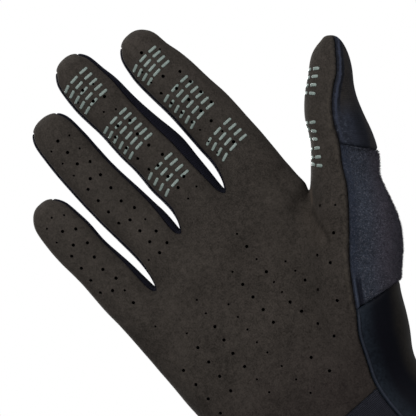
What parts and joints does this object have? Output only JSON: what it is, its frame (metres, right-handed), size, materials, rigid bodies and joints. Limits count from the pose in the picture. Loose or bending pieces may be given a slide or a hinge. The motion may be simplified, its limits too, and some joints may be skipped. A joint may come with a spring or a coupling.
{
  "type": "cycling glove",
  "caption": "Right-hand full-finger cycling glove in its worn form, hollow, with suede palm, knit back, fleece thumb patch and printed silicone grips.",
  "frame": {"origin": "centre of the cuff's mouth, where the wrist goes in", "axes": "+Z from the cuff's mouth along the fingers, -Y out of the palm, +X towards the thumb"},
  "size_m": [0.146, 0.0486, 0.2258],
  "materials": {
    "microsuede": "matte brown-black microsuede with a fine mottled nap",
    "stretch_knit": "matte near-black navy stretch knit",
    "gusset_knit": "matte near-black navy rib knit",
    "thumb_knit": "navy knit with a slight sheen",
    "terry_fleece": "fuzzy navy-grey fleece pile",
    "satin_lycra": "smooth satin, very dark navy",
    "cuff_fabric": "matte dark grey stretch fabric",
    "silicone_print": "light grey-green printed silicone, semi-gloss"
  },
  "bodies": {
    "root": {"palm_panel": "microsuede", "back_panel": "stretch_knit", "fourchette_pinky_ring": "gusset_knit", "fourchette_ring_middle": "gusset_knit", "fourchette_middle_index": "gusset_knit", "thumb_back": "thumb_knit", "terry_patch": "terry_fleece", "side_panel": "satin_lycra", "heel_panel": "cuff_fabric", "grip_middle_tip": "silicone_print", "grip_middle_middle": "silicone_print", "grip_middle_base": "silicone_print", "grip_index_tip": "silicone_print", "grip_index_middle": "silicone_print", "grip_index_base": "silicone_print", "grip_thumb_tip": "silicone_print", "grip_thumb_base": "silicone_print"}
  },
  "joints": []
}
